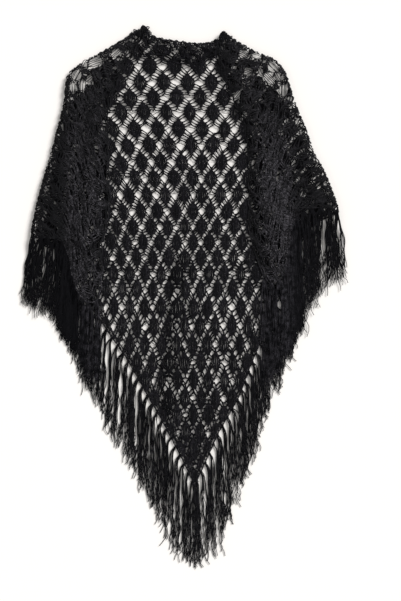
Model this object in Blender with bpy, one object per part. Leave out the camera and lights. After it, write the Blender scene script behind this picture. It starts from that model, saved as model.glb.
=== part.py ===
"""Knit shawl: a triangle of open knitting with a knotted fringe on its two short sides.

It lies on a flat surface with its neck edge turned down and both ends folded forward, so each
outer edge is a rolled fold. Sizes are in millimetres: X across, Y up to the neck, Z off the
surface. The finished solids are written in metres.
"""

import math

import bpy
import numpy as np
from mathutils import Vector
from mathutils.geometry import delaunay_2d_cdt

MM = 0.001

# Cloth and seams
KNIT = 2.2          # thickness of the knitted wall
SEAM = 0.3          # gap between neighbouring pieces
HEM_SEAM = 0.36     # the same between a hem and its fringe, a little more for the bends
CENTRE_X = -6.0     # middle of the laid garment, which becomes the origin
CENTRE_Y = -2.5

# Rolled folds
ROLL = 4.6          # radius of the fold at the outer edges, to the middle of the wall
ROLL_AT_NECK = 2.4  # the same beside the neck, where the fold is pressed
NECK_ROLL = 3.4     # radius of the fold along the neck edge
LIP = 3.0           # flat length under a fold, up to the back panel
FOLD_SPAN = 14.0    # length the half turn of a fold takes in the flat layout
FOLD_PITCH = 20.0   # spacing of the points down a fold
BAND_PITCH = 14.0   # the same along the neck

# Layout sheets that the front pieces are cut in before they are laid in place
FRONT_WIDE = 120.0
FRONT_LONG = 480.0
BAND_WIDE = 40.0
BAND_LONG = 140.0
HEM_REACH = 3.0     # how soon the shape of the hem fades up the front

# Openings of the lace
LEAF_SHARE = 0.47   # share of a column taken up by the knitted leaf
RIM = 1.0           # strand left along each side of an opening
HOLE_DROP = 0.9     # an opening sits this share of a row above its leaf
SLIT_ACROSS = 8.4   # openings of the fronts, across and along their rows
SLIT_ALONG = 16.0
SLIT_ROW = 18.0     # pitch of the fronts' rows, counted in from the front edge
SLIT_PITCH = 41.0   # pitch of the openings along a row
SLIT_ROWS = 8
SLIT_STARTS = (1.3, 0.8)    # first opening of even and odd rows, in pitches from the neck
FOLD_CLEAR = 12.0   # solid cloth kept beside an outer fold
HEM_CLEAR = 8.0     # solid cloth kept along a front's hem

# Fringe
STRIP = 3.6         # width of the strip that holds the roots
LOCK = 2.0          # root of one strand along the strip
STRAND = 1.45       # half width of a strand below its knot
STRAND_TIP = 0.7
STRAND_HIGH = 0.95  # half height of a strand
WAVE = 2.6          # sideways wave of the strands
BACK_LIE = 1.35     # height of the back's strands off the surface, to their middle
FRONT_LIE = 4.6     # the same for the fronts' strands, which lie on the back's
KNOTS = {"left_back": 26, "right_back": 20, "left_front": 14, "right_front": 15}

# Crease down the back
CREASE_HIGH = 5.0
CREASE_WIDE = 16.0

YARN = (0.028, 0.027, 0.033)
YARN_DARK = (0.020, 0.019, 0.024)

# Plan of the garment. Columns: x, y.
LEFT_FOLD = [
    (-78, 493), (-93, 484), (-107, 472), (-134, 456), (-156, 443), (-184, 428), (-204, 414),
    (-215, 398), (-220, 353), (-231, 310), (-242, 266), (-255, 223), (-267, 180), (-276, 137),
    (-280, 113),
]
LEFT_EDGE = [
    (-78, 493), (-82, 472), (-89, 454), (-104, 428), (-122, 396), (-134, 364), (-141, 328),
    (-140, 270), (-138, 212), (-138, 167), (-148, 115), (-152, 94), (-150, 50), (-156, 5),
]
LEFT_HEM = [
    (-280, 113), (-260, 112), (-240, 111), (-226, 105), (-216, 85), (-208, 52), (-198, 20),
    (-184, 0), (-170, -5), (-156, 5),
]
RIGHT_FOLD = [
    (68, 481), (80, 472), (89, 466), (105, 457), (130, 443), (154, 434), (174, 414), (183, 392),
    (195, 353), (213, 310), (228, 266), (248, 230), (266, 184), (274, 158),
]
RIGHT_EDGE = [
    (68, 481), (58, 459), (58, 432), (64, 405), (75, 374), (91, 342), (104, 306), (109, 270),
    (111, 225), (111, 171), (114, 117), (122, 86), (136, 49),
]
RIGHT_HEM = [
    (274, 158), (260, 166), (246, 167), (231, 166), (216, 162), (203, 153), (194, 134),
    (187, 102), (180, 68), (172, 42), (160, 28), (148, 31), (136, 49),
]
NECK_FOLD = [
    (-72, 492), (-66, 480), (-57, 473), (-42, 469), (-30, 467), (-8, 464), (14, 461), (37, 462),
    (48, 465), (55, 470),
]
NECK_EDGE = [
    (-88, 440), (-73, 436), (-60, 434), (-48, 436), (-24, 427), (-8, 424), (6, 419), (21, 419),
    (37, 430), (54, 436),
]
LEFT_LEG = [
    (-266, 100), (-228, 88), (-206, 66), (-184, 18), (-163, -27), (-141, -58), (-109, -104),
    (-75, -164), (-44, -218), (-14, -275), (15, -335),
]
RIGHT_LEG = [
    (258, 150), (231, 138), (204, 99), (186, 58), (168, 4), (148, -41), (120, -108), (94, -176),
    (57, -241), (15, -335),
]
CREASE = [(-8, 108), (-14, 45), (-19, 0), (-24, -59), (-30, -121), (-33, -180), (-30, -240)]

# Rows of leaves down the back. Columns: row height, middle of the row, pitch of its columns.
LEAF_ROWS = [
    (392, 2, 42.5), (365, 4, 42.1), (338, 6, 41.4), (308, 8, 40.0), (279, 9, 38.0),
    (248, 10, 36.0), (219, 11, 34.2), (190, 12, 32.8), (160, 12, 31.3), (132, 12, 30.4),
    (104, 12, 29.7), (76, 12, 29.0), (47, 12, 28.6), (18, 12, 28.4), (-14, 11, 28.4),
    (-48, 11, 28.4), (-81, 11, 28.4), (-113, 11, 28.4), (-146, 12, 28.4), (-178, 12, 28.1),
    (-209, 13, 27.7), (-239, 13, 27.4), (-270, 14, 27.0),
]

# Height of a front's middle line. Columns: share down the front, then the height at each share
# of its width in FRONT_SHARES, from the outer fold in to the front edge.
FRONT_SHARES = (0.0, 0.12, 0.30, 0.45, 0.58, 0.72, 0.87, 1.0)
LEFT_HEIGHTS = [
    (0.00, 5.9, 5.9, 5.6, 5.4, 5.2, 5.0, 4.7, 4.5),
    (0.22, 10.3, 11.0, 10.0, 8.6, 8.0, 8.4, 6.4, 4.5),
    (0.50, 10.3, 12.0, 9.6, 7.2, 11.0, 15.0, 11.0, 4.6),
    (0.80, 10.3, 11.6, 8.6, 5.6, 12.0, 18.0, 13.0, 4.8),
    (1.00, 10.3, 9.0, 7.0, 5.6, 8.0, 12.0, 9.0, 5.2),
]
RIGHT_HEIGHTS = [
    (0.00, 5.9, 5.9, 5.8, 5.8, 5.8, 5.8, 5.2, 4.5),
    (0.22, 10.3, 10.6, 9.4, 8.2, 8.6, 10.6, 8.4, 4.5),
    (0.50, 10.3, 11.4, 9.0, 6.8, 9.4, 13.4, 11.0, 4.6),
    (0.80, 10.3, 11.2, 8.2, 5.6, 11.2, 17.0, 12.0, 4.8),
    (1.00, 10.3, 9.0, 7.0, 5.6, 8.0, 11.0, 8.6, 5.2),
]
BAND_SHARES = (0.0, 0.35, 0.7, 1.0)
BAND_HEIGHTS = [
    (0.0, 7.9, 8.6, 6.4, 4.4),
    (0.3, 7.9, 7.4, 5.6, 4.2),
    (0.7, 7.9, 7.2, 5.4, 4.2),
    (1.0, 7.9, 8.4, 6.2, 4.4),
]

# Where the strands end. Columns: x of the root, then x and y of the tip.
LEFT_BACK_TIPS = [
    (-228, -244, -44), (-206, -219, -76), (-184, -196, -126), (-163, -175, -170),
    (-141, -152, -208), (-109, -122, -272), (-75, -86, -328), (-44, -54, -392),
    (-14, -22, -452), (10, 3, -490), (15, 9, -492),
]
RIGHT_BACK_TIPS = [
    (15, 18, -492), (40, 48, -462), (57, 71, -408), (94, 108, -326), (120, 132, -246),
    (148, 164, -164), (168, 180, -124), (186, 194, -78), (204, 210, -44),
]
LEFT_FRONT_TIPS = [
    (-280, -299, -4), (-254, -271, -18), (-231, -247, -28), (-222, -236, -45),
    (-216, -228, -60), (-208, -218, -70), (-198, -206, -84), (-186, -193, -112),
    (-172, -177, -144), (-156, -158, -155),
]
RIGHT_FRONT_TIPS = [
    (136, 143, -156), (148, 152, -150), (160, 162, -136), (172, 176, -108), (180, 188, -88),
    (187, 197, -74), (194, 205, -58), (203, 213, -36), (215, 222, -18), (237, 234, 7),
    (246, 242, 14), (255, 261, 27), (262, 271, 27), (274, 292, 40),
]


def traced(table, steps=8):
    """The smooth line through a table's points, as a function of the share of its length."""
    knots = np.array(table, float)
    dense = [knots[0]]
    padded = np.vstack([2 * knots[0] - knots[1], knots, 2 * knots[-1] - knots[-2]])
    for before, start, end, after in zip(padded, padded[1:], padded[2:], padded[3:]):
        for step in range(1, steps + 1):
            f = step / steps
            dense.append(0.5 * (
                2 * start
                + (end - before) * f
                + (2 * before - 5 * start + 4 * end - after) * f * f
                + (3 * start - before - 3 * end + after) * f ** 3
            ))
    dense = np.array(dense)
    legs = np.linalg.norm(np.diff(dense[:, :2], axis=0), axis=1)
    run = np.concatenate([[0.0], np.cumsum(legs)]) / legs.sum()
    return lambda share: np.array([np.interp(share, run, column) for column in dense.T])


def blend(value, stops, heights):
    """Eased value between the stops of a short table."""
    value = min(max(value, stops[0]), stops[-1])
    right = 1
    while right < len(stops) - 1 and value > stops[right]:
        right += 1
    f = (value - stops[right - 1]) / (stops[right] - stops[right - 1])
    f = f * f * (3 - 2 * f)
    return heights[right - 1] * (1 - f) + heights[right] * f


def table_height(table, shares, across, along):
    rows = [blend(across, shares, row[1:]) for row in table]
    return blend(along, [row[0] for row in table], rows)


def folded_surface(piece):
    """A turned-over piece, from its layout sheet (s across, t along) to its place in space.

    s above zero is the upper layer, s below zero the half turn of the fold and then the lip.
    """
    fold = traced(piece["fold"])
    edge = traced(piece["edge"])
    hem = traced(piece["hem"]) if "hem" in piece else None
    first = piece["first"]
    side = piece["side"]

    def inward(along):
        step = 0.01
        share = first + (1 - first) * along
        ahead = fold(min(share + step, 1)) - fold(max(share - step, 0))
        ahead /= np.linalg.norm(ahead)
        return side * np.array([-ahead[1], ahead[0]])

    def radius(along):
        return blend(along, (0.0, 0.15, 1.0), (piece["roll_start"], piece["roll"], piece["roll"]))

    def place(s, t):
        across = max(s, 0.0) / piece["wide"]
        along = t / piece["long"]
        share = first + (1 - first) * along
        turn = radius(along)
        into = inward(along)
        if s >= 0:
            plan = (1 - across) * fold(share) + across * edge(share)
            if hem is not None:
                chord = (1 - across) * fold(1) + across * edge(1)
                plan = plan + (hem(across) - chord) * along ** HEM_REACH
            plan = plan + into * turn * (1 - across) ** 2
            top = KNIT / 2 + 2 * turn
            height = table_height(piece["heights"], piece["shares"], across, along)
            height += (top - piece["heights"][1][1]) * (1 - across) ** 4 * (along > 0)
            height = top if s == 0 else max(height, KNIT / 2 + KNIT + SEAM)
            return np.array([plan[0], plan[1], height])
        angle = min(-s / FOLD_SPAN, 1.0) * math.pi
        slide = max(-s - FOLD_SPAN, 0.0)
        plan = fold(share) + into * (turn * (1 - math.sin(angle)) + slide)
        return np.array([plan[0], plan[1], KNIT / 2 + turn * (1 + math.cos(angle))])

    return place


def surface_normal(place, s, t, side, step=0.4):
    down = place(s, t + step) - place(s, t - step)
    over = place(s + step, t) - place(s - step, t)
    normal = side * np.cross(down, over)
    return normal / np.linalg.norm(normal)


def split_line(start, end, pitch):
    count = max(1, round(math.dist(start, end) / pitch))
    return [
        (start[0] + (end[0] - start[0]) * k / count, start[1] + (end[1] - start[1]) * k / count)
        for k in range(count)
    ]


def inside(point, ring):
    x, y = point
    hit = False
    for (ax, ay), (bx, by) in zip(ring, ring[1:] + ring[:1]):
        if (ay > y) != (by > y) and x < (bx - ax) * (y - ay) / (by - ay) + ax:
            hit = not hit
    return hit


def clearance(point, ring):
    """Distance from a point to the nearest side of a ring."""
    p = np.array(point)
    nearest = math.inf
    for start, end in zip(ring, ring[1:] + ring[:1]):
        a = np.array(start)
        along = np.array(end) - a
        f = min(max(np.dot(p - a, along) / max(np.dot(along, along), 1e-9), 0), 1)
        nearest = min(nearest, np.linalg.norm(p - a - f * along))
    return nearest


def add_solid(name, points, faces, colour):
    middle = np.array([CENTRE_X, CENTRE_Y, 0.0])
    corners = [tuple(float(c) * MM for c in point - middle) for point in points]
    mesh = bpy.data.meshes.new(name)
    mesh.from_pydata(corners, [], faces)
    mesh.validate()
    volume = 0.0
    for face in mesh.polygons:
        a, b, c = (mesh.vertices[i].co for i in face.vertices[:3])
        volume += a.dot(b.cross(c))
        if len(face.vertices) == 4:
            volume += a.dot(c.cross(mesh.vertices[face.vertices[3]].co))
    if volume < 0:
        mesh.flip_normals()
    mesh.update()
    material = bpy.data.materials.new(name + "_yarn")
    material.use_nodes = True
    shader = material.node_tree.nodes["Principled BSDF"]
    shader.inputs["Base Color"].default_value = (*colour, 1)
    shader.inputs["Roughness"].default_value = 0.9
    shader.inputs["Metallic"].default_value = 0.0
    mesh.materials.append(material)
    for face in mesh.polygons:
        face.use_smooth = True
    mesh.set_sharp_from_angle(angle=math.radians(35))
    solid = bpy.data.objects.new(name, mesh)
    bpy.context.scene.collection.objects.link(solid)
    return solid


def cloth_wall(name, outline, openings, guides, spots, low_and_high, colour):
    """A wall cut from a flat layout: outline, openings, guide lines and extra points."""
    ring_starts = [outline] + openings
    flat = [Vector(point) for ring in ring_starts for point in ring]
    edges = []
    for ring in ring_starts:
        base = len(edges)
        edges += [(base + k, base + (k + 1) % len(ring)) for k in range(len(ring))]
    for guide in guides:
        edges += [(len(flat) + k, len(flat) + k + 1) for k in range(len(guide) - 1)]
        flat += [Vector(point) for point in guide]
    flat += [Vector(point) for point in spots]
    verts, _, tris, _, _, _ = delaunay_2d_cdt(flat, edges, [], 0, 1e-5)
    kept = []
    for tri in tris:
        middle = sum((verts[i] for i in tri), Vector((0, 0))) / 3
        near = [ring for ring in openings if math.dist(ring[0], middle) < 60]
        if inside(middle, outline) and not any(inside(middle, ring) for ring in near):
            kept.append(tuple(tri))
    used = sorted({i for tri in kept for i in tri})
    number = {old: new for new, old in enumerate(used)}
    kept = [tuple(number[i] for i in tri) for tri in kept]
    low, high = [], []
    for old in used:
        below, above = low_and_high(verts[old].x, verts[old].y)
        low.append(below)
        high.append(above)
    count = len(used)
    sides = {}
    for tri in kept:
        for a, b in zip(tri, tri[1:] + tri[:1]):
            sides[(a, b)] = True
    faces = [(a + count, b + count, c + count) for a, b, c in kept]
    faces += [(c, b, a) for a, b, c in kept]
    for a, b in sides:
        if (b, a) not in sides:
            faces.append((a, b, b + count, a + count))
    return add_solid(name, low + high, faces, colour)


def spread_spots(outline, openings, box, pitch, keep_off):
    """Extra layout points in staggered rows, clear of the outline and the openings."""
    spots = []
    for row, t in enumerate(np.arange(box[2], box[3], pitch * 0.87)):
        for s in np.arange(box[0] + (row % 2) * pitch / 2, box[1], pitch):
            near = [ring for ring in openings if math.dist(ring[0], (s, t)) < 40]
            if any(inside((s, t), ring) or clearance((s, t), ring) < keep_off for ring in near):
                continue
            if inside((s, t), outline) and clearance((s, t), outline) > keep_off:
                spots.append((float(s), float(t)))
    return spots


def steps_between(start, end, pitch):
    count = max(1, round((end - start) / pitch))
    return [start + (end - start) * k / count for k in range(count + 1)]


def front_openings(piece, place):
    """Slits of a front, in rows counted in from the front edge."""
    rings = []
    for row in range(SLIT_ROWS):
        inset = SLIT_ROW * (row + 0.75)
        start = SLIT_PITCH * SLIT_STARTS[row % 2]
        for t in np.arange(start, piece["long"] - 2 * HEM_CLEAR, SLIT_PITCH):
            wide = np.linalg.norm((place(piece["wide"], t) - place(0, t))[:2])
            s = piece["wide"] * (1 - inset / wide)
            if s < FOLD_CLEAR:
                continue
            half_s = SLIT_ACROSS / 2 * piece["wide"] / wide
            step = np.linalg.norm((place(s, t + 2) - place(s, t - 2))[:2]) / 4
            half_t = SLIT_ALONG / 2 / step
            if t + half_t > piece["long"] - HEM_CLEAR or t - half_t < HEM_CLEAR:
                continue
            rings.append([(s - half_s, t), (s, t - half_t), (s + half_s, t), (s, t + half_t)])
    return rings


def lay_folded(name, piece, openings, along_pitch, spread, colour):
    place = folded_surface(piece)
    wide, long = piece["wide"], piece["long"]
    turns = [-FOLD_SPAN * k / 4 for k in range(4, 0, -1)] + [0.0]
    outline = [(-FOLD_SPAN - LIP, 0.0)] + [(s, 0.0) for s in turns]
    outline += split_line((0.0, 0.0), (wide, 0.0), spread)[1:]
    outline += split_line((wide, 0.0), (wide, long), along_pitch)
    outline += [(s, long) for s in piece["hem_shares"][::-1]] + [(s, long) for s in turns[-2::-1]]
    outline += split_line((-FOLD_SPAN - LIP, long), (-FOLD_SPAN - LIP, 0.0), along_pitch)
    rows = steps_between(0.0, long, along_pitch)
    guides = [[(s, t) for t in rows] for s in turns]
    spots = spread_spots(outline, openings, (spread * 0.6, wide, 0.0, long), spread, spread * 0.4)

    def low_and_high(s, t):
        normal = surface_normal(place, s, t, piece["side"])
        middle = place(s, t)
        return middle - normal * KNIT / 2, middle + normal * KNIT / 2

    cloth_wall(name, outline, openings, guides, spots, low_and_high, colour)
    return place


def lip_line(piece, pitch):
    """Edge of the back panel along a fold: the lip's end moved in by the seam."""
    place = folded_surface(piece)
    s = -FOLD_SPAN - LIP - SEAM
    return [tuple(place(s, t)[:2]) for t in steps_between(0.0, piece["long"], pitch)]


def clear_of(bends, at):
    """The place for a knot, moved off the nearest bend of its hem."""
    nearest = min(bends, key=lambda bend: abs(bend - at))
    room = LOCK + 0.7
    if abs(at - nearest) >= room:
        return at
    return nearest + (room if at > nearest else -room)


def fringe(name, base, upward, outward, tips, knots, lie, colour):
    """A strip along a hem with two strands to each knot, as one body."""
    base = np.array(base)
    run = np.concatenate([[0.0], np.cumsum(np.linalg.norm(np.diff(base, axis=0), axis=1))])
    order = np.argsort(base[:, 0])

    def station(at):
        point = np.array([np.interp(at, run, column) for column in base.T])
        up = np.array([np.interp(at, run, column) for column in np.array(upward).T])
        out = np.array([np.interp(at, run, column) for column in np.array(outward).T])
        return point, up / np.linalg.norm(up), out / np.linalg.norm(out)

    def place_at(across):
        x = base[0, 0] + (base[-1, 0] - base[0, 0]) * across
        return np.interp(x, base[order, 0], run[order])

    middles = [clear_of(run, place_at((knot + 0.5) / knots)) for knot in range(knots)]
    roots = {}
    for knot, middle in enumerate(middles):
        roots[middle - LOCK] = (knot + 0.25) / knots
        roots[middle] = (knot + 0.75) / knots
    bends = [at for at in run if all(abs(at - middle) > LOCK for middle in middles)]
    marks = sorted(set(bends) | set(roots) | {middle + LOCK for middle in middles})
    strands = {j: roots[at] for j, at in enumerate(marks) if at in roots}
    points = []
    half = KNIT / 2 * 0.9
    for at in marks:
        point, up, out = station(at)
        inner = point + out * HEM_SEAM
        outer = point + out * (HEM_SEAM + STRIP)
        points += [inner - up * half, inner + up * half, outer + up * half, outer - up * half]
    faces = [(0, 1, 2, 3)]
    for j in range(len(marks) - 1):
        a, b = 4 * j, 4 * j + 4
        faces += [(a, b, b + 1, a + 1), (a + 1, b + 1, b + 2, a + 2), (a + 3, b + 3, b, a)]
        if j not in strands:
            faces.append((a + 2, b + 2, b + 3, a + 3))
            continue
        lane = strands[j]
        hem, _, out = station(place_at(lane))
        tip = np.array([np.interp(hem[0], *zip(*[(row[0], row[k]) for row in tips]))
                        for k in (1, 2)])
        sway = math.sin(9.7 * lane * knots) * 0.04 + math.sin(4.1 * lane * knots) * 0.03
        tip = tip + (tip - hem[:2]) * sway
        fall = tip - hem[:2]
        fall /= np.linalg.norm(fall)
        square = np.array([-fall[1], fall[0]])
        if np.dot(square, (points[b + 2] - points[a + 2])[:2]) < 0:
            square = -square
        ring = [a + 3, b + 3, b + 2, a + 2]
        for f in (0.2, 0.58, 1.0):
            wave = WAVE * math.sin(2 * math.pi * (f * 1.15 + 1.4 * lane)) * f ** 0.5
            middle = hem[:2] * (1 - f) + tip * f + square * wave
            middle = middle + out[:2] * (HEM_SEAM + STRIP) * (1 - f) ** 8
            height = lie + (hem[2] - lie) * (1 - f) ** 3
            wide = STRAND + (STRAND_TIP - STRAND) * f ** 2
            thick = STRAND_HIGH * (1 - 0.35 * f * f)
            start = len(points)
            for over, rise in ((-1, -1), (1, -1), (1, 1), (-1, 1)):
                corner = middle + square * wide * over
                points.append(np.array([corner[0], corner[1], height + thick * rise]))
            fresh = [start, start + 1, start + 2, start + 3]
            for k in range(4):
                n = (k + 1) % 4
                faces.append((ring[n], ring[k], fresh[k], fresh[n]))
            ring = fresh
        faces.append(tuple(ring[::-1]))
    last = 4 * (len(marks) - 1)
    faces.append((last + 3, last + 2, last + 1, last))
    return add_solid(name, points, faces, colour)


def leg_frame(line, side):
    """Base points, upward and outward directions of a fringe along a straight-sided leg."""
    base = [np.array([x, y, BACK_LIE]) for x, y in line]
    out = []
    for k in range(len(line)):
        ahead = np.array(line[min(k + 1, len(line) - 1)]) - np.array(line[max(k - 1, 0)])
        ahead = ahead / np.linalg.norm(ahead)
        out.append(np.array([side * ahead[1], -side * ahead[0], 0.0]))
    return base, [np.array([0, 0, 1.0])] * len(line), out


def hem_frame(piece, place):
    """The same along the lower edge of a front."""
    t = piece["long"]
    base = [place(s, t) for s in piece["hem_shares"]]
    up = [surface_normal(place, s, t, piece["side"]) for s in piece["hem_shares"]]
    out = []
    for k in range(len(base)):
        ahead = base[min(k + 1, len(base) - 1)] - base[max(k - 1, 0)]
        level = np.array([piece["side"] * ahead[1], -piece["side"] * ahead[0], 0.0])
        level -= up[k] * np.dot(level, up[k])
        out.append(level / np.linalg.norm(level))
    return base, up, out


def crease_height(x, y):
    """Rise of the soft crease that runs down the back panel."""
    line = sorted(CREASE, key=lambda row: row[1])
    middle = np.interp(y, [row[1] for row in line], [row[0] for row in line])
    ends = min(max((y - line[0][1]) / 60, 0), 1) * min(max((line[-1][1] - y) / 60, 0), 1)
    off = min(abs(x - middle) / CREASE_WIDE, 1)
    return CREASE_HIGH * ends * (1 - off * off) ** 2


def leaf_openings(outline, showing):
    """Shield-shaped openings of the back, one above each leaf that shows."""
    rings = []
    for row, (leaf_y, centre, pitch) in enumerate(LEAF_ROWS):
        above = LEAF_ROWS[max(row - 1, 0)][0]
        step = (above - leaf_y) if row else LEAF_ROWS[0][0] - LEAF_ROWS[1][0]
        y = leaf_y + HOLE_DROP * step
        wide = pitch * (1 - LEAF_SHARE) / 2 - RIM
        high = step * 0.27
        for column in range(-6, 7):
            x = centre + pitch * (column + (0.5 if row % 2 else 0.0))
            if not inside((x, y), showing) or clearance((x, y), outline) < wide + 5:
                continue
            rings.append([
                (x - wide * 0.55, y + high), (x - wide, y + high * 0.15), (x, y - high),
                (x + wide, y + high * 0.15), (x + wide * 0.55, y + high),
            ])
    return rings


def build():
    left = {
        "fold": LEFT_FOLD, "edge": LEFT_EDGE, "hem": LEFT_HEM, "side": 1, "first": 0.03,
        "wide": FRONT_WIDE, "long": FRONT_LONG, "roll": ROLL, "roll_start": ROLL_AT_NECK,
        "heights": LEFT_HEIGHTS, "shares": FRONT_SHARES,
        "hem_shares": steps_between(0.0, FRONT_WIDE, 5.0),
    }
    right = dict(left, fold=RIGHT_FOLD, edge=RIGHT_EDGE, hem=RIGHT_HEM, side=-1,
                 heights=RIGHT_HEIGHTS)
    band = {
        "fold": NECK_FOLD, "edge": NECK_EDGE, "side": -1, "first": 0.0,
        "wide": BAND_WIDE, "long": BAND_LONG, "roll": NECK_ROLL, "roll_start": NECK_ROLL,
        "heights": BAND_HEIGHTS, "shares": BAND_SHARES,
        "hem_shares": steps_between(0.0, BAND_WIDE, 13.0),
    }
    fronts = {}
    for name, piece in (("left_front", left), ("right_front", right)):
        slits = front_openings(piece, folded_surface(piece))
        fronts[name] = lay_folded(name, piece, slits, FOLD_PITCH, 14.0, YARN)
        print(name, len(slits), "openings")
    lay_folded("neck_band", band, [], BAND_PITCH, 13.0, YARN_DARK)

    left_lip = lip_line(left, FOLD_PITCH)
    right_lip = lip_line(right, FOLD_PITCH)
    neck_lip = lip_line(band, BAND_PITCH)
    outline = left_lip + LEFT_LEG + RIGHT_LEG[::-1][1:] + right_lip[::-1] + neck_lip[::-1]
    showing = [tuple(traced(LEFT_EDGE)(k / 20)) for k in range(3, 21)]
    showing += LEFT_LEG[4:] + RIGHT_LEG[:3:-1]
    showing += [tuple(traced(RIGHT_EDGE)(k / 20)) for k in range(20, 1, -1)]
    showing += NECK_EDGE[::-1]
    holes = leaf_openings(outline, showing)
    print("back_panel", len(holes), "openings")
    ridge = []
    for x, y in [tuple(traced(CREASE)(k / 12)) for k in range(13)]:
        ridge += [(x + off * CREASE_WIDE, y) for off in (-1.0, -0.5, 0.0, 0.5, 1.0)]
    spots = [
        spot for spot in ridge
        if all(not inside(spot, ring) and clearance(spot, ring) > 2.0 for ring in holes)
    ]

    def low_and_high(x, y):
        rise = crease_height(x, y)
        return np.array([x, y, rise]), np.array([x, y, rise + KNIT])

    cloth_wall("back_panel", outline, holes, [], spots, low_and_high, YARN)

    fringe("left_back_fringe", *leg_frame(LEFT_LEG[1:], 1), LEFT_BACK_TIPS,
           KNOTS["left_back"], BACK_LIE, YARN_DARK)
    fringe("right_back_fringe", *leg_frame(RIGHT_LEG[:1:-1], 1), RIGHT_BACK_TIPS,
           KNOTS["right_back"], BACK_LIE, YARN_DARK)
    fringe("left_front_fringe", *hem_frame(left, fronts["left_front"]), LEFT_FRONT_TIPS,
           KNOTS["left_front"], FRONT_LIE, YARN_DARK)
    fringe("right_front_fringe", *hem_frame(right, fronts["right_front"]), RIGHT_FRONT_TIPS,
           KNOTS["right_front"], FRONT_LIE, YARN_DARK)


for old in list(bpy.data.objects):
    bpy.data.objects.remove(old, do_unlink=True)
build()
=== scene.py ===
import math
import random
import bpy
import numpy as np
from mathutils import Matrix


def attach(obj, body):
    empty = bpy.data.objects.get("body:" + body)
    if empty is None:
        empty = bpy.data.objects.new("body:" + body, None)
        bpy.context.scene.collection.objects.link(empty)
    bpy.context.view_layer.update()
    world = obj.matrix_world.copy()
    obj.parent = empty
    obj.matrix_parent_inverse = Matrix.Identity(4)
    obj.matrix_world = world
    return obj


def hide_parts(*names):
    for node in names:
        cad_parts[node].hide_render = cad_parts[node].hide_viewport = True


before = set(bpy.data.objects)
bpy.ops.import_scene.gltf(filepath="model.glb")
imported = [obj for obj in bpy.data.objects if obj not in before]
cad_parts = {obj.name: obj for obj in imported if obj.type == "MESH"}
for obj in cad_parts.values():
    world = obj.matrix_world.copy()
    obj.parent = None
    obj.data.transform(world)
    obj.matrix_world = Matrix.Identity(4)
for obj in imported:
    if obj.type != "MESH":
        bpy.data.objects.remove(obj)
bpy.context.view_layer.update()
print("frame loaded", [len(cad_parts), "nodes"])

# the lay of the cloth in millimetres of the photo's plan, neck towards +Y; columns x, y
mm = 0.001
pixel = 1.8  # what one pixel of the photo measures
centre = (-6.0, -2.5)  # middle of the laid garment
knit = 2.2  # wall thickness
foldSpan = 14.0  # the turn of a fold, measured round it
lip = 3.0  # cloth under a fold, past its turn
turnColumns = 9  # columns of a layout round the turn
fullTurn = 6.283
leftFold = [
    (-78, 493), (-93, 484), (-107, 472), (-134, 456), (-156, 443), (-184, 428), (-204, 414), (-215, 398),
    (-220, 353), (-231, 310), (-242, 266), (-255, 223), (-267, 180), (-276, 137), (-280, 113)]
leftEdge = [
    (-78, 493), (-82, 472), (-89, 454), (-104, 428), (-122, 396), (-134, 364), (-141, 328), (-140, 270),
    (-138, 212), (-138, 167), (-148, 115), (-152, 94), (-150, 50), (-156, 5)]
leftHem = [
    (-280, 113), (-260, 112), (-240, 111), (-226, 105), (-216, 85), (-208, 52), (-198, 20), (-184, 0),
    (-170, -5), (-156, 5)]
rightFold = [
    (68, 481), (80, 472), (89, 466), (105, 457), (130, 443), (154, 434), (174, 414), (183, 392),
    (195, 353), (213, 310), (228, 266), (248, 230), (266, 184), (274, 158)]
rightEdge = [
    (68, 481), (58, 459), (58, 432), (64, 405), (75, 374), (91, 342), (104, 306), (109, 270), (111, 225),
    (111, 171), (114, 117), (122, 86), (136, 49)]
rightHem = [
    (274, 158), (260, 166), (246, 167), (231, 166), (216, 162), (203, 153), (194, 134), (187, 102),
    (180, 68), (172, 42), (160, 28), (148, 31), (136, 49)]
neckFold = [
    (-72, 492), (-66, 480), (-57, 473), (-42, 469), (-30, 467), (-8, 464), (14, 461), (37, 462),
    (48, 465), (55, 470)]
neckEdge = [
    (-88, 440), (-73, 436), (-60, 434), (-48, 436), (-24, 427), (-8, 424), (6, 419), (21, 419), (37, 430),
    (54, 436)]
leftLeg = [
    (-266, 100), (-228, 88), (-206, 66), (-184, 18), (-163, -27), (-141, -58), (-109, -104), (-75, -164),
    (-44, -218), (-14, -275), (15, -335)]
rightLeg = [
    (258, 150), (231, 138), (204, 99), (186, 58), (168, 4), (148, -41), (120, -108), (94, -176),
    (57, -241), (15, -335)]
creaseLine = [(-8, 108), (-14, 45), (-19, 0), (-24, -59), (-30, -121), (-33, -180), (-30, -240)]
# heights of a stretch: a share of its length, then millimetres at these shares of its width
frontShares = (0.0, 0.12, 0.30, 0.45, 0.58, 0.72, 0.87, 1.0)
leftHeights = [
    (0.00, 5.9, 5.9, 5.6, 5.4, 5.2, 5.0, 4.7, 4.5), (0.22, 10.3, 11.0, 10.0, 8.6, 8.0, 8.4, 6.4, 4.5),
    (0.50, 10.3, 12.0, 9.6, 7.2, 11.0, 15.0, 11.0, 4.6),
    (0.80, 10.3, 11.6, 8.6, 5.6, 12.0, 18.0, 13.0, 4.8), (1.00, 10.3, 9.0, 7.0, 5.6, 8.0, 12.0, 9.0, 5.2)]
rightHeights = [
    (0.00, 5.9, 5.9, 5.8, 5.8, 5.8, 5.8, 5.2, 4.5), (0.22, 10.3, 10.6, 9.4, 8.2, 8.6, 10.6, 8.4, 4.5),
    (0.50, 10.3, 11.4, 9.0, 6.8, 9.4, 13.4, 11.0, 4.6),
    (0.80, 10.3, 11.2, 8.2, 5.6, 11.2, 17.0, 12.0, 4.8), (1.00, 10.3, 9.0, 7.0, 5.6, 8.0, 11.0, 8.6, 5.2)]
bandShares = (0.0, 0.35, 0.7, 1.0)
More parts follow.
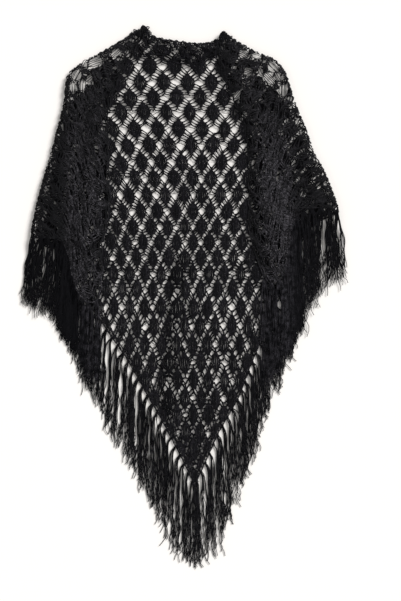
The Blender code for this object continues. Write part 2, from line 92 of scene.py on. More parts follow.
bandHeights = [
    (0.0, 7.9, 8.6, 6.4, 4.4), (0.3, 7.9, 7.4, 5.6, 4.2), (0.7, 7.9, 7.2, 5.4, 4.2),
    (1.0, 7.9, 8.4, 6.2, 4.4)]
leafRows = [  # row height, middle of the row, pitch of its columns
    (479, -3, 44.5), (450, -2, 44.0), (421, 0, 43.5), (392, 2, 42.5), (365, 4, 42.1), (338, 6, 41.4),
    (308, 8, 40.0), (279, 9, 38.0), (248, 10, 36.0), (219, 11, 34.2), (190, 12, 32.8), (160, 12, 31.3),
    (132, 12, 30.4), (104, 12, 29.7), (76, 12, 29.0), (47, 12, 28.6), (18, 12, 28.4), (-14, 11, 28.4),
    (-48, 11, 28.4), (-81, 11, 28.4), (-113, 11, 28.4), (-146, 12, 28.4), (-178, 12, 28.1),
    (-209, 13, 27.7), (-239, 13, 27.4), (-270, 14, 27.0), (-299, 15, 26.6), (-324, 15, 26.0)]
leftBackTips = [  # x of the root, then x and y of the tip
    (-228, -244, -44), (-206, -219, -76), (-184, -196, -126), (-163, -175, -170), (-141, -152, -208),
    (-109, -122, -272), (-75, -86, -328), (-44, -54, -392), (-14, -22, -452), (10, 3, -490),
    (15, 9, -492)]
rightBackTips = [
    (15, 18, -492), (40, 48, -462), (57, 71, -408), (94, 108, -326), (120, 132, -246), (148, 164, -164),
    (168, 180, -124), (186, 194, -78), (204, 210, -44)]
leftFrontTips = [
    (-280, -296, -4), (-254, -270, -18), (-231, -247, -28), (-222, -236, -45), (-216, -228, -60),
    (-208, -218, -70), (-198, -206, -84), (-186, -193, -112), (-172, -177, -144), (-156, -158, -155)]
rightFrontTips = [
    (136, 143, -156), (148, 152, -150), (160, 162, -136), (172, 176, -108), (180, 188, -88),
    (187, 197, -74), (194, 205, -58), (203, 213, -36), (215, 222, -18), (237, 234, 7), (246, 242, 14),
    (255, 261, 27), (262, 271, 27), (274, 289, 40)]


def traced(table, steps=8):  # a smooth line through a table's points, read by its share of the length
    knots = np.array(table, float)
    padded = np.vstack([2 * knots[0] - knots[1], knots, 2 * knots[-1] - knots[-2]])
    dense = [knots[0]]
    for before, start, end, after in zip(padded, padded[1:], padded[2:], padded[3:]):
        for step in range(1, steps + 1):
            f = step / steps
            pull = 2 * before - 5 * start + 4 * end - after
            bend = 3 * start - before - 3 * end + after
            dense.append(0.5 * (2 * start + (end - before) * f + pull * f * f + bend * f ** 3))
    dense = np.array(dense)
    legs = np.linalg.norm(np.diff(dense, axis=0), axis=1)
    run = np.concatenate([[0.0], np.cumsum(legs)]) / legs.sum()
    return lambda share: np.array([np.interp(share, run, column) for column in dense.T])


def eased(value, stops, heights):  # smooth steps from height to height
    value = min(max(value, stops[0]), stops[-1])
    right = 1
    while right < len(stops) - 1 and value > stops[right]:
        right += 1
    f = (value - stops[right - 1]) / (stops[right] - stops[right - 1])
    f = f * f * (3 - 2 * f)
    return heights[right - 1] * (1 - f) + heights[right] * f


def foldedPlace(piece):  # s across the layout, t along it; below zero is the turn of the fold
    fold, edge = traced(piece["fold"]), traced(piece["edge"])
    hem = traced(piece["hem"]) if piece["hem"] else None

    def place(s, t):
        across, along = max(s, 0.0) / piece["wide"], t / piece["long"]
        share = piece["first"] + (1 - piece["first"]) * along
        ahead = fold(min(share + 0.01, 1)) - fold(max(share - 0.01, 0))
        ahead /= np.linalg.norm(ahead)
        into = piece["side"] * np.array([-ahead[1], ahead[0]])
        turn = eased(along, (0.0, 0.15, 1.0), (piece["rollStart"], piece["roll"], piece["roll"]))
        if s < 0:
            angle = min(-s / foldSpan, 1.0) * math.pi
            plan = fold(share) + into * (turn * (1 - math.sin(angle)) + max(-s - foldSpan, 0.0))
            return np.array([plan[0], plan[1], knit / 2 + turn * (1 + math.cos(angle))])
        plan = (1 - across) * fold(share) + across * edge(share)
        if hem is not None:
            plan = plan + (hem(across) - (1 - across) * fold(1) - across * edge(1)) * along ** 3
        plan = plan + into * turn * (1 - across) ** 2
        top = knit / 2 + 2 * turn
        rows = [eased(across, piece["shares"], row[1:]) for row in piece["heights"]]
        height = eased(along, [row[0] for row in piece["heights"]], rows)
        height += (top - piece["heights"][1][1]) * (1 - across) ** 4 * (along > 0)
        height = top if s == 0 else max(height, knit * 1.5 + 0.3)
        return np.array([plan[0], plan[1], height])

    return place


def layoutGrid(piece):  # the piece's surface as a grid that many points are read from at once
    place = foldedPlace(piece)
    turn = [-foldSpan + foldSpan / (turnColumns - 1) * k for k in range(turnColumns)]
    sList = np.array([-foldSpan - lip] + turn + list(np.linspace(0.5, piece["wide"], 40)))
    tList = np.linspace(0, piece["long"], 81)
    spots = np.array([[place(s, t) for t in tList] for s in sList])
    over = np.gradient(spots, sList, axis=0)
    down = np.gradient(spots, tList, axis=1)
    normals = piece["side"] * np.cross(down, over)
    normals /= np.linalg.norm(normals, axis=2)[:, :, None]
    widths = np.linalg.norm(np.diff(spots[turnColumns:], axis=0), axis=2).sum(axis=0)
    return {"s": sList, "t": tList, "spots": spots, "normals": normals, "widths": widths, "piece": piece}


def readGrid(grid, s, t, lift):
    s, t = np.clip(s, grid["s"][0], grid["s"][-1]), np.clip(t, 0, grid["t"][-1])
    i = np.clip(np.searchsorted(grid["s"], s) - 1, 0, len(grid["s"]) - 2)
    j = np.clip(np.searchsorted(grid["t"], t) - 1, 0, len(grid["t"]) - 2)
    a = ((s - grid["s"][i]) / (grid["s"][i + 1] - grid["s"][i]))[:, None]
    b = ((t - grid["t"][j]) / (grid["t"][j + 1] - grid["t"][j]))[:, None]
    out = []
    for field in (grid["spots"], grid["normals"]):
        low = field[i, j] * (1 - b) + field[i, j + 1] * b
        high = field[i + 1, j] * (1 - b) + field[i + 1, j + 1] * b
        out.append(low * (1 - a) + high * a)
    return out[0] + out[1] * np.asarray(lift)[:, None]


def layFolded(grid):  # plan of the lace: u along the rows, v up to the front edge (v = 0)
    def lay(u, v, lift):
        width = np.interp(u, grid["t"], grid["widths"])
        wide = grid["piece"]["wide"]
        s = np.where(-v < width, wide * (1 + v / width), -(-v - width))
        return readGrid(grid, s, u, lift)
    return lay


crease = {"rise": 5.0, "half": 16.0, "fade": 60}  # its height, half its width, how long it fades out
backLift = 2.7  # middle of the back's yarn over the table


def creaseRise(x, y):
    line = sorted(creaseLine, key=lambda row: row[1])
    middle = np.interp(y, [row[1] for row in line], [row[0] for row in line])
    fromLow, fromHigh = (y - line[0][1]) / crease["fade"], (line[-1][1] - y) / crease["fade"]
    ends = np.clip(fromLow, 0, 1) * np.clip(fromHigh, 0, 1)
    off = np.minimum(np.abs(x - middle) / crease["half"], 1)
    return crease["rise"] * ends * (1 - off * off) ** 2


def layBack(u, v, lift):
    return np.stack([u, v, backLift + creaseRise(u, v) + lift], axis=1)


def pastEdge(edge, x, y):  # how far x lies from a front edge at the same height
    rows = sorted((spot[1], spot[0]) for spot in edge)
    return x - np.interp(y, [row[0] for row in rows], [row[1] for row in rows])


def inRing(x, y, ring):
    hit = False
    for (ax, ay), (bx, by) in zip(ring, ring[1:] + ring[:1]):
        if (ay > y) != (by > y) and x < (bx - ax) * (y - ay) / (by - ay) + ax:
            hit = not hit
    return hit


def clipped(points, keep):  # the runs of a strand that lie on the cloth
    runs, run = [], []
    for point in points:
        if keep(point[0], point[1]):
            run.append(point)
        elif run:
            runs.append(run)
            run = []
    if run:
        runs.append(run)
    return [np.array(run) for run in runs if len(run) > 1]


# measures that all the lace shares
stitch = {"lean": 0.5, "leanTop": 1.3, "leanLow": 1.4, "body": 0.93, "blunt": 0.07,
          "sway": 0.35, "waver": 0.45, "thin": 0.72, "swollen": 0.36, "wispRadius": 0.42,
          "stemRadius": 1.6, "stemEnd": 1.2, "stemLift": 0.1,
          "join": 0.95, "reach": 0.8, "rungPoints": 5, "rungLift": 0.2}


def leafMiddle(leaf, h):  # a leaf's middle line leans to the openings above and below it
    if h > 0:
        return leaf["x"] + leaf["top"] * min(h / leaf["up"], stitch["leanTop"])
    return leaf["x"] + leaf["low"] * min(-h / leaf["down"], stitch["leanLow"])


def leafWidth(leaf, h):  # half its width at a height, with blunt points
    share = min(abs(h) / (leaf["up"] if h > 0 else leaf["down"]), 1)
    return leaf["half"] * ((1 - share ** leaf["round"]) * stitch["body"] + stitch["blunt"])


def leafWales(leaf, keep, settings, rng):  # the upright ribs of a leaf
    strands = []
    sway, waver = stitch["sway"], stitch["waver"]
    count = max(3, round(2 * leaf["half"] / settings["walePitch"]))
    for j in range(count):
        side = (j + 0.5) / count * 2 - 1
        wale = []
        for k in range(settings["walePoints"]):
            q = k / (settings["walePoints"] - 1)
            h = leaf["up"] - q * (leaf["up"] + leaf["down"])
            hump = math.sin(math.pi * q)
            x = leafMiddle(leaf, h) + side * leafWidth(leaf, h) + rng.uniform(-sway, sway)
            lift = settings["leafLift"] * hump * (1 - side * side) + rng.uniform(-waver, waver)
            thick = settings["waleRadius"] * (stitch["thin"] + stitch["swollen"] * hump)
            wale.append((x, leaf["y"] + h, lift, thick))
        strands += clipped(wale, keep)
    return strands


def leafStems(leaf, keep):  # short stems above and below a leaf
    strands = []
    up, down, thick = leaf["up"], leaf["down"], stitch["stemRadius"]
    for start, end in ((up - 2, up + leaf["rise"]), (2 - down, -down - leaf["stem"])):
        radii = ((start, thick), ((start + end) / 2, thick), (end, stitch["stemEnd"]))
        strands += clipped([(leafMiddle(leaf, h), leaf["y"] + h, stitch["stemLift"], radius)
                            for h, radius in radii], keep)
    return strands


def overOpening(leaf, keep, settings, rng):  # what crosses the opening under a leaf
    strands = []
    y, down, stem = leaf["y"], leaf["down"], leaf["stem"]
    below = leafMiddle(leaf, -down - stem)
    for wide, drop in leaf["arcs"]:
        level = y - down - stem - drop
        strands += clipped([(below + wide * h, level + 1.5 * h * h, 0.2, 0.9 + 0.4 * abs(h))
                            for h in (-1, -0.4, 0.4, 1)], keep)
    if rng.random() < settings["wisps"]:  # a loose fibre
        tilt, drop = rng.uniform(-4, 4), down + stem + rng.uniform(3, 8)
        strands += clipped([(below + 0.5 * leaf["half"] * h, y - drop + tilt * h + rng.uniform(-1, 1), 0.3,
                             stitch["wispRadius"]) for h in (-2, -0.7, 0.7, 2)], keep)
    return strands


def rungsDown(leaf, near, step, keep, settings, rng):  # strands over the lane to the next leaf below
    strands = []
    shares = [k / (leaf["rungs"] - 1) + rng.uniform(-0.05, 0.05) for k in range(leaf["rungs"])]
    if rng.random() < settings["extra"]:  # here and there one more strand half closes a slit
        shares.append(rng.uniform(0.15, 0.85))
    for q in shares:
        high = -leaf["shoulder"] - q * (leaf["down"] + leaf["stem"] - leaf["shoulder"])
        deep = near["up"] + near["rise"] - q * (stitch["reach"] * near["up"] + near["rise"])
        startX = leafMiddle(leaf, high) + step * leafWidth(leaf, high) * stitch["join"]
        endX = leafMiddle(near, deep) - step * leafWidth(near, deep) * stitch["join"]
        startY, endY = leaf["y"] + high, near["y"] + deep
        sag, bow = rng.uniform(-1.3, 1.0), rng.uniform(-0.8, 0.8)
        rung = []
        for m in range(stitch["rungPoints"]):
            f = m / (stitch["rungPoints"] - 1)
            hump = math.sin(math.pi * f)
            lift = stitch["rungLift"] + rng.uniform(-0.5, 0.5)
            thick = leaf["rung"] * (1 + (1 - hump) ** 1.5) * rng.uniform(0.84, 1.12)
            rung.append((startX * (1 - f) + endX * f + bow * hump, startY * (1 - f) + endY * f + sag * hump,
                         lift, thick))
        strands += clipped(rung, keep)
    return strands


def leafLace(rows, sizes, keep, settings):  # strands of the leaf lace: columns u, v, lift, radius
    rng = random.Random(settings["seed"])
    loose = settings["loose"]
    rows = [{c: (x + rng.gauss(0, loose), y + rng.gauss(0, loose)) for c, (x, y) in row.items()}
            for row in rows]
    leaves = []
    for r, row in enumerate(rows):
        odd = (r + settings["firstRow"]) % 2
        leaves.append({})
        for c, (x, y) in row.items():
            leaf = dict(sizes(r, x, y), x=x, y=y, top=0.0, low=0.0)
            leaf["half"] *= rng.uniform(*settings["swell"])
            pair = (c - odd, c + 1 - odd)
            for side, other in (("low", r + 1), ("top", r - 1)):
                near = rows[other] if 0 <= other < len(rows) else {}
                if all(key in near for key in pair):
                    leaf[side] = stitch["lean"] * (0.5 * (near[pair[0]][0] + near[pair[1]][0]) - x)
            leaves[-1][c] = leaf
    strands = []
    for r, row in enumerate(leaves):
        odd = (r + settings["firstRow"]) % 2
        for c, leaf in row.items():
            strands += leafWales(leaf, keep, settings, rng) + leafStems(leaf, keep)
            strands += overOpening(leaf, keep, settings, rng)
            if r + 1 == len(rows):
                continue
            for step, key in ((-1, c - odd), (1, c + 1 - odd)):
                if key in leaves[r + 1]:
                    strands += rungsDown(leaf, leaves[r + 1][key], step, keep, settings, rng)
    return strands


def laid(strands, lay):  # strands from the plan into space: columns x, y, z, radius
    flat = np.vstack(strands)
    spots = lay(flat[:, 0], flat[:, 1], flat[:, 2])
    spots[:, 2] = np.maximum(spots[:, 2], flat[:, 3] + 0.1)  # nothing sinks into the table
    spots = np.hstack([spots, flat[:, 3:4]])
    return np.split(spots, np.cumsum([len(strand) for strand in strands])[:-1])


# stretched openings at the shoulders: middle, half length, half width, turn in degrees, strands across
stretched = [
    (-164, 428, 14, 8, 20, 3), (-182, 425, 7, 6, 60, 1), (-198, 404, 11, 9, 62, 4),
    (-175, 398, 7, 6, 40, 2), (-187, 386, 11, 6, 85, 2), (-204, 382, 9, 6, 95, 2),
    (-127, 445, 10, 7, 40, 3), (103, 443, 9, 7, -30, 3), (126, 439, 10, 4.5, -20, 1),
    (156, 419, 12, 9, -45, 4), (149, 397, 14, 7, -45, 3), (134, 410, 9, 4, -65, 1),
    (164, 401, 9, 5, -60, 2), (174, 377, 12, 8, 88, 4), (110, 408, 8, 6, 20, 3), (91, 369, 9, 5, 50, 2)]
shoulders = {"low": 360, "high": 460, "seed": 41, "ringPoints": 10, "ringStep": 0.628, "ringRadius": 0.65,
             "uneven": (0.85, 1.2)}


def turnedBy(degrees):
    return math.cos(math.radians(degrees)), math.sin(math.radians(degrees))


def insideWhich(x, y):  # the number of the stretched opening that a point lies in
    for k, (middleX, middleY, long, wide, turn, _) in enumerate(stretched):
        c, s = turnedBy(turn)
        a, b = (x - middleX) * c + (y - middleY) * s, (y - middleY) * c - (x - middleX) * s
        if (a / long) ** 2 + (b / wide) ** 2 < 1:
            return k
    return -1


def roundOpening(opening, high, rng):  # a ring round a stretched opening and a few strands along it
    middleX, middleY, long, wide, turn, across = opening
    c, s = turnedBy(turn)
    ring = []
    for q in range(shoulders["ringPoints"]):
        angle = q * shoulders["ringStep"]
        a = long * math.cos(angle) * rng.uniform(*shoulders["uneven"])
        b = wide * math.sin(angle) * rng.uniform(*shoulders["uneven"])
        ring.append((a, b, shoulders["ringRadius"]))
    lines = [ring + ring[:1]]
    for k in range(across):
        at = wide * ((k + 1) / (across + 1) * 2 - 1) * 0.9 + rng.uniform(-0.6, 0.6)
        bow = rng.uniform(-1.6, 1.6)
        lines.append([(1.15 * long * h, at + bow * (1 - h * h), 0.5 + 0.5 * h * h)
                      for h in (-1, -0.5, 0.1, 0.6, 1)])
    return [np.array([
        (middleX + a * c - b * s, middleY + a * s + b * c, high + rng.uniform(-0.4, 0.4), radius)
        for a, b, radius in line]) for line in lines]


def stretchOpen(strands, crossed):  # clears the stretched openings, and draws strands round and over them
    kept, dropped = [], [[] for _ in stretched]
    for strand in strands:
        if strand[:, 1].max() < shoulders["low"] or strand[:, 1].min() > shoulders["high"]:
            kept.append(strand)
            continue
        for point in strand:
            k = insideWhich(point[0], point[1])
            if k >= 0:
                dropped[k].append(point[2])
        kept += clipped(list(strand), lambda x, y: insideWhich(x, y) < 0)
    rng = random.Random(shoulders["seed"])
    for opening, heights in zip(stretched, dropped):
        if crossed and heights:
            kept += roundOpening(opening, sum(heights) / len(heights), rng)
    return kept


def joined(tree, pairs):  # links, each as a node and its output, a node and its input
    for source, output, target, name in pairs:
        tree.links.new(source.outputs[output], target.inputs[name])


def yarnTubeGroup():  # a round strand along every line of a piece, its length and turn kept for the twist
    tree = bpy.data.node_groups.new("yarnTube", "GeometryNodeTree")
    for name, kind in (("Lines", "NodeSocketGeometry"), ("Thickness", "NodeSocketFloat"),
                       ("Sides", "NodeSocketInt"), ("Yarn", "NodeSocketMaterial")):
        tree.interface.new_socket(name, in_out="INPUT", socket_type=kind)
    tree.interface.new_socket("Strands", in_out="OUTPUT", socket_type="NodeSocketGeometry")
    node = tree.nodes.new
    entry, leave = node("NodeGroupInput"), node("NodeGroupOutput")
    toCurve, radius = node("GeometryNodeMeshToCurve"), node("GeometryNodeInputNamedAttribute")
    radius.data_type = "FLOAT"
    radius.inputs["Name"].default_value = "thick"
    scaled, ring = node("ShaderNodeMath"), node("GeometryNodeCurvePrimitiveCircle")
    scaled.operation = "MULTIPLY"
    ring.inputs["Radius"].default_value = 1.0
    length, share = node("GeometryNodeSplineParameter"), node("GeometryNodeSplineParameter")
    along, around = node("GeometryNodeStoreNamedAttribute"), node("GeometryNodeStoreNamedAttribute")
    for store, name in ((along, "along"), (around, "around")):
        store.data_type, store.domain = "FLOAT", "POINT"
        store.inputs["Name"].default_value = name
    tube, smooth = node("GeometryNodeCurveToMesh"), node("GeometryNodeSetShadeSmooth")
    tube.inputs["Fill Caps"].default_value = True
    real, paint = node("GeometryNodeRealizeInstances"), node("GeometryNodeSetMaterial")
    joined(tree, (
        (entry, "Lines", toCurve, "Mesh"), (toCurve, "Curve", along, "Geometry"),
        (length, "Length", along, "Value"), (entry, "Sides", ring, "Resolution"),
        (ring, "Curve", around, "Geometry"), (share, "Factor", around, "Value"),
        (radius, "Attribute", scaled, 0), (entry, "Thickness", scaled, 1),
        (along, "Geometry", tube, "Curve"), (around, "Geometry", tube, "Profile Curve"),
        (scaled, "Value", tube, "Scale"), (tube, "Mesh", smooth, "Geometry"),
        (smooth, "Geometry", real, "Geometry"), (real, "Geometry", paint, "Geometry"),
        (entry, "Yarn", paint, "Material"), (paint, "Geometry", leave, "Strands")))
    return tree


def setInput(modifier, name, value):
    for item in modifier.node_group.interface.items_tree:
        if item.item_type == "SOCKET" and item.in_out == "INPUT" and item.name == name:
            modifier[item.identifier] = value


def placed(name, data):  # a new object in the scene
    obj = bpy.data.objects.new(name, data)
    bpy.context.scene.collection.objects.link(obj)
    return obj


def finished(obj, name):  # the evaluated piece as a plain mesh under its own name
    bpy.context.view_layer.update()
    graph = bpy.context.evaluated_depsgraph_get()
    mesh = bpy.data.meshes.new_from_object(obj.evaluated_get(graph), preserve_all_data_layers=True,
                                           depsgraph=graph)
    bpy.data.objects.remove(obj, do_unlink=True)
    mesh.name = name
    piece = placed(name, mesh)
    return piece


def yarnPiece(name, strands, settings):
    spots = np.vstack(strands)
    spots[:, 0] -= centre[0]
    spots[:, 1] -= centre[1]
    lines = bpy.data.meshes.new(name + "Lines")
    edges, start = [], 0
    for strand in strands:
        edges += [(start + k, start + k + 1) for k in range(len(strand) - 1)]
        start += len(strand)
    lines.from_pydata([tuple(map(float, spot)) for spot in spots[:, :3] * mm], edges, [])
    thick = lines.attributes.new("thick", "FLOAT", "POINT")
    thick.data.foreach_set("value", np.ascontiguousarray(spots[:, 3] * mm, dtype=np.float32))
    rng = random.Random(len(strands))  # every strand a little lighter or darker at random, with painted light and shade on top: lighter on raised stretches, darker in the crease and along the front edges
    tones = np.concatenate([np.full(len(strand), rng.uniform(0.1, 1.0)) for strand in strands])
    # painted light and shade: each piece's function lightens or darkens the strand tone by where it lies
    tones *= settings["nap"](spots[:, 0] + centre[0], spots[:, 1] + centre[1])
    tone = lines.attributes.new("tone", "FLOAT", "POINT")
    tone.data.foreach_set("value", tones.astype(np.float32))
    obj = placed(name + "Lines", lines)
    modifier = obj.modifiers.new("yarn", "NODES")
    modifier.node_group = yarnTube
    setInput(modifier, "Thickness", settings["thickness"])
    setInput(modifier, "Sides", settings["sides"])
    setInput(modifier, "Yarn", settings["yarn"])
    piece = finished(obj, name)
    triangles = sum(len(face.vertices) - 2 for face in piece.data.polygons)
    print(name, len(strands), "strands", triangles, "triangles")
    return piece


def twistGroup():  # the plies of a yarn: a height, and the same wave as a painted shade mask that darkens the hollows between them
    tree = bpy.data.node_groups.new("yarnTwist", "ShaderNodeTree")
    for name, way in (("Turns", "INPUT"), ("Height", "OUTPUT"), ("Hollow", "OUTPUT")):
        tree.interface.new_socket(name, in_out=way, socket_type="NodeSocketFloat")
    node = tree.nodes.new
    entry, leave = node("NodeGroupInput"), node("NodeGroupOutput")
    along, around = node("ShaderNodeAttribute"), node("ShaderNodeAttribute")
    along.attribute_name, around.attribute_name = "along", "around"
    run, turn, wave, lift = (node("ShaderNodeMath") for _ in range(4))
    for step, work in ((run, "MULTIPLY"), (turn, "MULTIPLY_ADD"), (wave, "SINE"), (lift, "MULTIPLY_ADD")):
        step.operation = work
    turn.inputs[1].default_value = 4 * math.pi  # two plies
    lift.inputs[1].default_value = lift.inputs[2].default_value = 0.5
    joined(tree, (
        (along, "Fac", run, 0), (entry, "Turns", run, 1), (around, "Fac", turn, 0), (run, "Value", turn, 2),
        (turn, "Value", wave, 0), (wave, "Value", lift, 0),
        (lift, "Value", leave, "Height"), (lift, "Value", leave, "Hollow")))
    return tree


def yarnMaterial(name, settings):
    material = bpy.data.materials.new(name)
    material.use_nodes = True
    nodes = material.node_tree.nodes
    shader = nodes["Principled BSDF"]
    shader.inputs["Metallic"].default_value = 0.0
    shader.inputs["Specular IOR Level"].default_value = settings["gloss"]
    place, patches = nodes.new("ShaderNodeTexCoord"), nodes.new("ShaderNodeTexNoise")
    patches.inputs["Scale"].default_value = settings["patchScale"]
    patches.inputs["Detail"].default_value = 3.0
    twist, tone = nodes.new("ShaderNodeGroup"), nodes.new("ShaderNodeMix")
    twist.node_tree = yarnTwist
    twist.inputs["Turns"].default_value = settings["turns"]
    tone.data_type = "RGBA"
    tone.inputs["A"].default_value = (*settings["dark"], 1)
    tone.inputs["B"].default_value = (*settings["light"], 1)
    # base colour: random grain and strand tone, times the painted hollow shade and the painted light and
    # shade carried in the tone attribute
    shade, dyeAndPaintedShade = nodes.new("ShaderNodeMath"), nodes.new("ShaderNodeMath")
    shade.operation = dyeAndPaintedShade.operation = "MULTIPLY"
    strand, bump = nodes.new("ShaderNodeAttribute"), nodes.new("ShaderNodeBump")
    strand.attribute_name = "tone"
    bump.inputs["Strength"].default_value = settings["bump"]
    bump.inputs["Distance"].default_value = settings["bumpDepth"]
    grain, rough = nodes.new("ShaderNodeMapRange"), nodes.new("ShaderNodeMapRange")
    grain.inputs["From Min"].default_value, grain.inputs["From Max"].default_value = settings["grain"]
    rough.inputs["To Min"].default_value, rough.inputs["To Max"].default_value = settings["rough"]
    joined(material.node_tree, (
        (place, "Object", patches, "Vector"), (patches, "Fac", grain, "Value"),
        (grain, "Result", shade, 0), (twist, "Hollow", shade, 1),
        (shade, "Value", dyeAndPaintedShade, 0), (strand, "Fac", dyeAndPaintedShade, 1),
        (dyeAndPaintedShade, "Value", tone, "Factor"), (tone, "Result", shader, "Base Color"),
        (patches, "Fac", rough, "Value"), (rough, "Result", shader, "Roughness"),
        (twist, "Height", bump, "Height"), (bump, "Normal", shader, "Normal")))
    return material


def evenly(x, y):
    return np.ones(len(x))


def paintedCreaseShade(x, y):  # painted shade: the yarn darkened along the crease, where its shadow falls
    return 1 - 0.85 * np.minimum(creaseRise(x, y) / 4, 1)


def paintedFrontLight(edge, across, up, beside):  # painted light and shade: lighter on a raised stretch, a painted shadow along its front edge
    def nap(x, y):
        # painted shadow along the front edge above y 60, painted light across and up the stretch
        dim = np.where(y > 60, np.interp(pastEdge(edge, x, y), *beside), 1)
        return np.interp(x, *across) * dim * np.interp(y, *up)
    return nap


# painted shade: the outer part of the left front fringe is darkened, where it lies in shade
def paintedLeftFringeShade(x, y):
    return np.interp(x, (-200, -178), (0.06, 1))


# painted light: two places in millimetres and the painted share of light at each
paintedLeftLight = paintedFrontLight(leftEdge, across=((-224, -208), (0.07, 0.84)), up=((220, 340), (1, 0.4)),
                   beside=((-12, -6), (1, 0.25)))
paintedRightLight = paintedFrontLight(rightEdge, across=((180, 200), (1, 0.2)), up=((240, 350), (1, 0.4)),
                    beside=((12, 24), (0.25, 1)))

yarnTube = yarnTubeGroup()
yarnTwist = twistGroup()
knitYarn = {"dark": (0.003, 0.003, 0.004), "light": (0.040, 0.037, 0.045), "gloss": 0.12,
            "patchScale": 220.0, "grain": (0.36, 0.66), "turns": 1500.0, "rough": (0.72, 0.95),
            "bump": 0.6, "bumpDepth": 0.0004}
looseYarn = dict(knitYarn, dark=(0.002, 0.002, 0.003), light=(0.034, 0.032, 0.037), gloss=0.1,
                 patchScale=120.0, turns=1800.0, rough=(0.7, 0.92), bump=0.5)
laceYarn = yarnMaterial("laceYarn", knitYarn)
# painted light: lighter, glossier copies of the yarn for the fronts and their fringe, standing in for the
# light on the raised stretches
frontYarn = yarnMaterial("frontYarn", dict(
    knitYarn, dark=(0.004, 0.004, 0.005), light=(0.17, 0.16, 0.18), gloss=0.16, patchScale=240.0))
frontFringeYarn = yarnMaterial("frontFringeYarn", dict(looseYarn, light=(0.10, 0.095, 0.11)))
fringeYarn = yarnMaterial("fringeYarn", looseYarn)
print("yarns ready")

leftFront = {"fold": leftFold, "edge": leftEdge, "hem": leftHem, "side": 1, "first": 0.03, "wide": 120.0,
             "long": 480.0, "roll": 4.6, "rollStart": 2.4, "heights": leftHeights, "shares": frontShares}
rightFront = dict(leftFront, fold=rightFold, edge=rightEdge, hem=rightHem, side=-1, heights=rightHeights)
neckBand = {"fold": neckFold, "edge": neckEdge, "hem": None, "side": -1, "first": 0.0, "wide": 40.0,
            "long": 140.0, "roll": 3.4, "rollStart": 3.4, "heights": bandHeights, "shares": bandShares}
grids = {"left": layoutGrid(leftFront), "right": layoutGrid(rightFront), "neck": layoutGrid(neckBand)}
print("lay of the folded stretches ready")


def lipLine(grid, count):
    t = np.linspace(0, grid["t"][-1], count)
    return [tuple(spot[:2]) for spot in readGrid(grid, np.full(count, -foldSpan - lip), t, np.zeros(count))]


def runAlong(line):  # length along a line up to each of its points
    return np.concatenate([[0.0], np.cumsum(np.linalg.norm(np.diff(line, axis=0), axis=1))])


def besideEdge(line, at):  # points at given lengths along an edge, and the way across it there
    run = runAlong(line)
    spots = np.stack([np.interp(at, run, column) for column in line.T], axis=1)
    ahead = np.gradient(spots, axis=0)
    ahead /= np.linalg.norm(ahead, axis=1)[:, None]
    return spots, np.stack([-ahead[:, 1], ahead[:, 0]], axis=1)


def edgeCords(line, offsets, pitch, radius, lift):  # cords beside an edge, each a gently uneven line
    line = np.array(line, float)
    length = runAlong(line)[-1]
    count = max(3, int(length / pitch))
    spots, across = besideEdge(line, np.linspace(0, length, count))
    step = np.arange(count)
    cords = []
    for k, offset in enumerate(offsets):
        wobble = 0.5 * np.sin(step * 2.1 + k * 1.7)
        moved = spots + across * (offset + wobble)[:, None]
        cords.append(np.column_stack([moved, lift + 0.3 * np.cos(step * 1.9 + k), np.full(count, radius)]))
    return cords


def edgeZigzag(line, sweep, pitch, radius):  # small loops worked to and fro beside an edge
    line = np.array(line, float)
    at = np.arange(0, runAlong(line)[-1], pitch)
    spots, across = besideEdge(line, at)
    step = np.arange(len(at))
    off = np.where(step % 2, sweep[0], sweep[1]) + 0.6 * np.sin(step * 2.3)
    moved = spots + across * off[:, None]
    return [np.column_stack([moved, 0.3 * np.cos(step * 1.3), np.full(len(at), radius)])]


def edging(line, side, lift, settings):  # what runs along an edge, on one side of it
    cords, zigzag = ([off * side for off in settings[key]] for key in ("cords", "zigzag"))
    return (edgeCords(line, cords, settings["cordPitch"], settings["cordRadius"], lift)
            + edgeZigzag(line, zigzag, settings["zigzagPitch"], settings["zigzagRadius"]))


# back panel: leaf lace on the flat, out to the folds
backSettings = {
    "seed": 3, "firstRow": 0, "walePitch": 3.2, "walePoints": 6, "waleRadius": 1.38, "leafLift": 0.9,
    "loose": 1.1, "wisps": 0.7, "swell": (0.9, 1.13), "extra": 0.35, "thickness": 1.0, "sides": 4,
    "yarn": laceYarn, "nap": paintedCreaseShade, "round": 2.1, "cordPitch": 7, "cordRadius": 1.1,
    "cords": (0.6, 5.4), "zigzag": (0.6, 9.5), "zigzagPitch": 3.6, "zigzagRadius": 1.15,  # along the two legs
    "lit": (185, 170, 330),  # light shows through past this x, between these heights
    "margin": ((180, 290), (14, 0)),  # painted shadow: heights, and how far the closer, darker knitting comes out past the fronts' edges there
    "upper": {"half": 0.328, "up": 15.2, "down": 15.8, "stem": 6.2, "rise": 4.3, "rung": 0.97,
              "shoulder": 2.2},
    "lower": {"half": 0.325, "up": 19.5, "down": 18.0, "stem": 5.4, "rise": 6.0, "rung": 1.27,
              "shoulder": 1.0},
    "covered": {"half": 0.38, "up": 18.0, "down": 18.0, "stem": 5.0, "rise": 3.0, "rungs": 4, "rung": 1.35,
                "shoulder": 4.0, "round": 2.2, "arcs": [(3.4, 4.0)]}}
backRing = (lipLine(grids["left"], 25) + leftLeg + rightLeg[::-1][1:] + lipLine(grids["right"], 25)[::-1]
            + lipLine(grids["neck"], 11)[::-1])


def onBack(x, y):
    return inRing(x, y, backRing)


showing = ([tuple(traced(leftEdge)(k / 20)) for k in range(0, 21)] + leftLeg[4:] + rightLeg[:3:-1]
           + [tuple(traced(rightEdge)(k / 20)) for k in range(20, -1, -1)])


